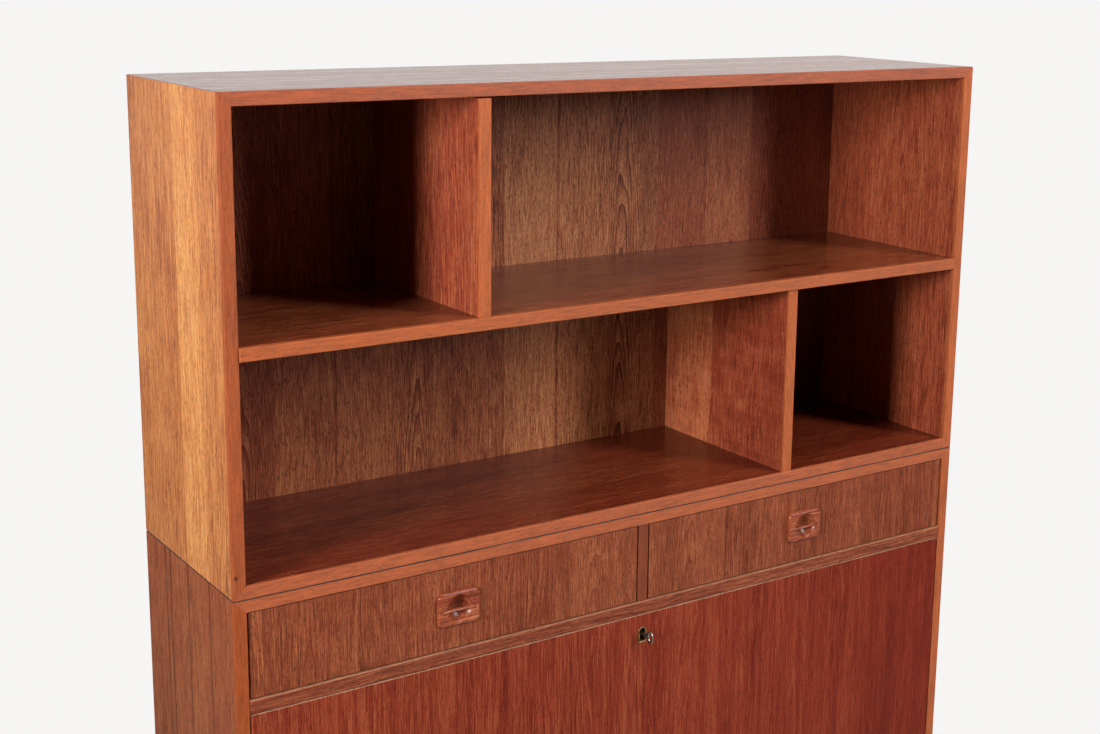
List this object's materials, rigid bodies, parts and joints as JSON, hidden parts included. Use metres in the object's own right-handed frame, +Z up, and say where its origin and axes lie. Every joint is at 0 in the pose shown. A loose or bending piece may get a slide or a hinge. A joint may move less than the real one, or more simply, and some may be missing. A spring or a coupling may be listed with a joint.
{
  "type": "secretary desk",
  "caption": "Tall teak secretary desk: open bookcase on a lower case with side-by-side drawers, a lockable fall front that opens to a writing flap, and turned tapered legs.",
  "frame": {"origin": "bottom centre of the whole object, on the floor, with the key's reach counted in the depth", "axes": "+Z up, front faces -Y, +X to the right as seen from the front"},
  "size_m": [1.16, 0.312, 1.73],
  "materials": {
    "aged_brass": "aged brass",
    "aged_steel": "aged nickelled steel",
    "back_teak": "teak veneered plywood, satin",
    "beech": "plain beech",
    "drawer_beech": "beech drawer stock, waxed",
    "drawer_teak": "oiled teak veneer with upright grain, satin",
    "flap_teak": "oiled teak veneer with upright grain, satin",
    "glide_plastic": "dark brown moulded plastic",
    "plywood": "birch plywood",
    "pull_wood": "dark solid hardwood, polished",
    "screw_steel": "zinc plated steel",
    "solid_teak": "oiled solid teak, satin",
    "teak_veneer": "oiled teak veneer, satin"
  },
  "bodies": {
    "cabinet": {"back_screws": "screw_steel", "base_back_rail": "solid_teak", "base_front_rail": "solid_teak", "base_screws": "screw_steel", "base_side_rails": "solid_teak", "bookcase_dowels": "beech", "bookcase_shelf": "teak_veneer", "desk_floor": "teak_veneer", "drawer_partition": "teak_veneer", "drawer_rail": "solid_teak", "drawer_runners": "beech", "dust_board": "plywood", "flap_stop": "solid_teak", "floor_cleats": "beech", "leg_back_left": "solid_teak", "leg_back_right": "solid_teak", "leg_front_left": "solid_teak", "leg_front_right": "solid_teak", "leg_glides": "glide_plastic", "lower_back": "back_teak", "lower_bottom": "teak_veneer", "lower_divider": "teak_veneer", "lower_left_side": "teak_veneer", "lower_right_side": "teak_veneer", "lower_splines": "beech", "lower_top": "teak_veneer", "pigeonhole_dividers": "teak_veneer", "pigeonhole_shelf": "teak_veneer", "pivot_plates": "aged_brass", "stack_dowels": "beech", "strike_plate": "aged_steel", "strike_screws": "screw_steel", "upper_back": "back_teak", "upper_bottom": "teak_veneer", "upper_divider": "teak_veneer", "upper_left_side": "teak_veneer", "upper_right_side": "teak_veneer", "upper_splines": "beech", "upper_top": "teak_veneer"},
    "flap": {"flap_panel": "flap_teak", "flap_pivots": "aged_brass", "lock_case": "aged_steel", "lock_escutcheon": "aged_brass", "lock_screws": "screw_steel"},
    "key": {"key": "aged_steel"},
    "lock_bolt": {"lock_bolt": "aged_steel"},
    "left_drawer": {"left_drawer_back": "drawer_beech", "left_drawer_bottom": "plywood", "left_drawer_front": "drawer_teak", "left_drawer_left_side": "drawer_beech", "left_drawer_right_side": "drawer_beech", "left_pull_bar": "pull_wood", "left_pull_plate": "pull_wood"},
    "right_drawer": {"right_drawer_back": "drawer_beech", "right_drawer_bottom": "plywood", "right_drawer_front": "drawer_teak", "right_drawer_left_side": "drawer_beech", "right_drawer_right_side": "drawer_beech", "right_pull_bar": "pull_wood", "right_pull_plate": "pull_wood"}
  },
  "joints": [
    {"name": "flap_fall", "type": "hinge", "parent": "cabinet", "child": "flap", "pos_m": [0, -0.12595, 0.659], "axis": [1, 0, 0], "range_deg": [0, 90]},
    {"name": "key_turn", "type": "hinge", "parent": "flap", "child": "key", "pos_m": [0, -0.13195, 0.9788], "axis": [0, 1, 0], "range_deg": [0, 180]},
    {"name": "bolt_throw", "type": "slide", "parent": "flap", "child": "lock_bolt", "axis": [0, 0, 1], "range_m": [0, 0.007]},
    {"name": "left_drawer_slide", "type": "slide", "parent": "cabinet", "child": "left_drawer", "axis": [0, -1, 0], "range_m": [0, 0.2]},
    {"name": "right_drawer_slide", "type": "slide", "parent": "cabinet", "child": "right_drawer", "axis": [0, -1, 0], "range_m": [0, 0.2]}
  ],
  "couplings": [
    {"joint": "key_turn", "follows": "bolt_throw", "rad_per_m": 448.8}
  ]
}
